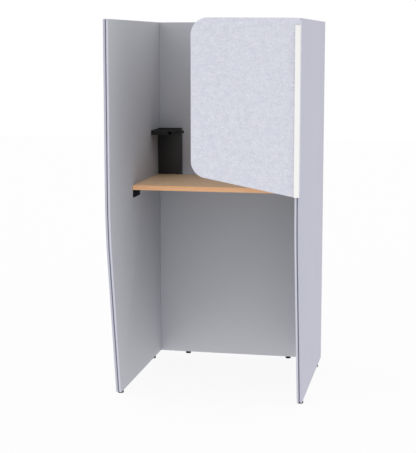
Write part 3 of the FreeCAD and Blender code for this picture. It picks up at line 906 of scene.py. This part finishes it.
def makeShelf(look):
    gauge = look["gauge"]
    top = shelfHigh.z
    lipRear = coverLow.y - look["lipGap"]
    middle = (shelfLow + shelfHigh) / 2
    shelf = addSheet(
        "riserShelf", (shelfHigh.x - shelfLow.x, shelfHigh.y - shelfLow.y), (middle.x, middle.y, top))
    splitAt(shelf, (middle.x, lipRear, top), (0, 1, 0))

    def onRim(at):
        atSide = near(at.x, shelfLow.x) or near(at.x, shelfHigh.x)
        return near(at.z, top) and at.y < lipRear - looseReach and (near(at.y, shelfLow.y) or atSide)

    extrudeEdges(shelf, lambda at, way: onRim(at), (0, 0, -look["lip"]))
    faceOutwards(shelf)
    roundEdges(shelf, lambda at, way: onRim(at), look["foldRadius"], look["roundSteps"])
    thicken(shelf, gauge)
    faceOutwards(shelf)
    through = Vector((0, 3 * gauge, 0))   # well past both faces of the rim
    port = addBlock("port", portLow - through, portHigh + through)
    roundEdges(port, lambda at, way: runsAlong(way, "y"), look["portRound"], look["roundSteps"])
    cutWith(shelf, port)
    flange = addBlock(
        "flange", (shelfLow.x + gauge + look["clipPlay"], shelfHigh.y - 2 * gauge, shelfLow.z),
        (shelfHigh.x - gauge - look["clipPlay"], shelfHigh.y - gauge, top - gauge / 2))
    cup = addBlock("cup", cupLow, cupHigh)
    pickFaces(cup, lambda normal: normal.y < 0 and runsAlong(normal, "y"))
    bpy.ops.mesh.inset(thickness=look["cupWall"])
    bpy.ops.mesh.extrude_region_move(TRANSFORM_OT_translate={"value": (0, look["cupDeep"] - 2 * gauge, 0)})
    bpy.ops.object.mode_set(mode="OBJECT")
    fuseWith(shelf, flange)
    fuseWith(shelf, cup)
    softenEdges(shelf, look["edgeSoft"], angle=look["shelfSoftAngle"])
    smoothOff(shelf)
    return shelf


riserChannel = makeChannel(riserLook)
settle(riserChannel, "booth", "riser_channel", blackCoat)
riserCover = makeCover(riserLook)
settle(riserCover, "booth", "riser_cover", blackCoat)
riserShelf = makeShelf(riserLook)
settle(riserShelf, "booth", "riser_shelf", shelfCoat)
for material in (bracketCoat, portShadeBlack, foldHighlightCoat):
    riserShelf.data.materials.append(material)
for face in riserShelf.data.polygons:
    at, up = face.center, face.normal.z
    if up > riserLook["levelFace"] and near(at.z, shelfHigh.z, riserLook["topBand"]):
        face.material_index = 1   # darker, flatter black on the resting face: painted shade
    elif riserLook["foldFace"] < up < riserLook["levelFace"] and at.z > portHigh.z:
        face.material_index = 3   # painted highlight along the folds
    elif all(low - looseReach < place < high + looseReach for low, place, high in zip(cupLow, at, cupHigh)):
        face.material_index = 2   # inside of the cable port, painted near-black as the shade in the hole
driveIn = (math.radians(-90), 0, 0)
wallY = channelHigh.y
earX = coverHigh.x + riserLook["earScrew"]
riserPlaces = [((earX, wallY - riserLook["gauge"], height), driveIn) for height in riserLook["earHeights"]]
for side in (-0.5, 0.5):
    screwX = (coverLow.x + coverHigh.x) / 2 + side * riserLook["shelfScrews"]
    screwZ = shelfHigh.z - riserLook["shelfScrewDrop"]
    riserPlaces.append(((screwX, wallY - 2 * riserLook["gauge"], screwZ), driveIn))
placeScrews("riserScrews", "riser_screws", riserLook["screwLength"], riserPlaces)
print("riser ready")


# feet: knurled pads

footLook = {
    "sides": 48,
    "rimRound": 0.0012,
    "rimSteps": 3,
    "ribInset": 0.00025,
    "ribDepth": -0.0004,
    "smoothAngle": 25,
}


def makeFoot(look):
    low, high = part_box("foot_pad_left_front")
    middle = (low + high) / 2
    foot = addRound("footPad", (high.x - low.x) / 2, low.z, high.z, look["sides"], (middle.x, middle.y))
    roundEdges(
        foot, lambda at, way: liesLevel(way) and (near(at.z, low.z) or near(at.z, high.z)),
        look["rimRound"], look["rimSteps"])
    pickFaces(foot, liesLevel)   # the upright faces, whose normals lie level
    bpy.ops.mesh.inset(thickness=look["ribInset"], depth=look["ribDepth"], use_individual=True)
    bpy.ops.object.mode_set(mode="OBJECT")
    smoothOff(foot, look["smoothAngle"])
    return foot


firstFoot = makeFoot(footLook)
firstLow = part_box("foot_pad_left_front")[0]
for spot in ("left_front", "left_rear", "right_front", "right_rear", "back_left", "back_right"):
    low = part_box(f"foot_pad_{spot}")[0]
    foot = copyPiece(firstFoot, f"footPad.{spot}", low - firstLow)
    settle(foot, f"foot_{spot}", f"foot_pad_{spot}", footBlack)
bpy.data.objects.remove(firstFoot)
print("feet ready")


# stage: white floor, even white light all round, camera

stageLook = {
    "floorSize": 30,
    "floorTone": (0.95, 0.95, 0.95),
    "floorRoughness": 0.9,
    "whiteShare": 0.9,                   # of plain white in the floor that is seen
    "even": 0.908,                       # light from all round
    "lean": (-0.081, -0.187, -0.100),    # a little more of it from the front
    "spread": (0.638, 0, -0.170),        # and from both sides, less from above and below
}


def seenDirectly(tree):
    # 1 for the lens, reflections and glass, 0 for the light that falls on the booth
    path = addNode(tree, "ShaderNodeLightPath").outputs
    seen = addMath(tree, "MAXIMUM", path["Is Camera Ray"], path["Is Glossy Ray"])
    return addMath(tree, "MAXIMUM", seen, path["Is Transmission Ray"])


leaveEditMode()
bpy.ops.mesh.primitive_plane_add(size=stageLook["floorSize"])
floor = bpy.context.object
floor.name = "floor"
floor.visible_diffuse = floor.visible_shadow = False   # light comes up past it, as on a light table
floorWhite = bpy.data.materials.new("floorWhite")
floorWhite.use_nodes = True
floorTree = floorWhite.node_tree
floorShader = floorTree.nodes["Principled BSDF"]
feed(floorTree, tint(*stageLook["floorTone"]), floorShader.inputs["Base Color"])
feed(floorTree, stageLook["floorRoughness"], floorShader.inputs["Roughness"])
floorGlow = addNode(floorTree, "ShaderNodeEmission")
floorMix = addNode(floorTree, "ShaderNodeMixShader")
floorShare = addMath(floorTree, "MULTIPLY", seenDirectly(floorTree), stageLook["whiteShare"])
feed(floorTree, floorShare, floorMix.inputs[0])
feed(floorTree, floorShader.outputs[0], floorMix.inputs[1])
feed(floorTree, floorGlow.outputs[0], floorMix.inputs[2])
feed(floorTree, floorMix.outputs[0], floorTree.nodes["Material Output"].inputs["Surface"])
floor.data.materials.append(floorWhite)

world = bpy.data.worlds.new("studio")
bpy.context.scene.world = world
world.use_nodes = True
worldTree = world.node_tree
background = worldTree.nodes["Background"]
direction = addNode(worldTree, "ShaderNodeTexCoord").outputs["Generated"]
leaning = addNode(worldTree, "ShaderNodeVectorMath", operation="DOT_PRODUCT")
feed(worldTree, direction, leaning.inputs[0])
feed(worldTree, stageLook["lean"], leaning.inputs[1])
squares = addNode(worldTree, "ShaderNodeVectorMath", operation="MULTIPLY")
feed(worldTree, direction, squares.inputs[0])
feed(worldTree, direction, squares.inputs[1])
spreading = addNode(worldTree, "ShaderNodeVectorMath", operation="DOT_PRODUCT")
feed(worldTree, squares.outputs["Vector"], spreading.inputs[0])
feed(worldTree, stageLook["spread"], spreading.inputs[1])
level = addMath(worldTree, "ADD", leaning.outputs["Value"], spreading.outputs["Value"])
level = addMath(worldTree, "ADD", level, stageLook["even"])
strength = addRange(worldTree, seenDirectly(worldTree), (0, 1), level, 1.0)   # what is seen is plain white
feed(worldTree, tint(1, 1, 1), background.inputs["Color"])
feed(worldTree, strength, background.inputs["Strength"])

cameraLook = {
    "place": (1.0853, -5.7034, 1.6846),
    "turn": (82.07, 0, 11.41),
    "sensor": 36,
    "lens": 94.45,
    "shiftY": -0.0408,
}
bpy.ops.object.camera_add(
    location=cameraLook["place"], rotation=[math.radians(angle) for angle in cameraLook["turn"]])
camera = bpy.context.object
camera.data.sensor_width = cameraLook["sensor"]
camera.data.lens = cameraLook["lens"]
camera.data.shift_y = cameraLook["shiftY"]
bpy.context.scene.camera = camera
bpy.context.scene.view_settings.view_transform = "Standard"

print("stage ready")
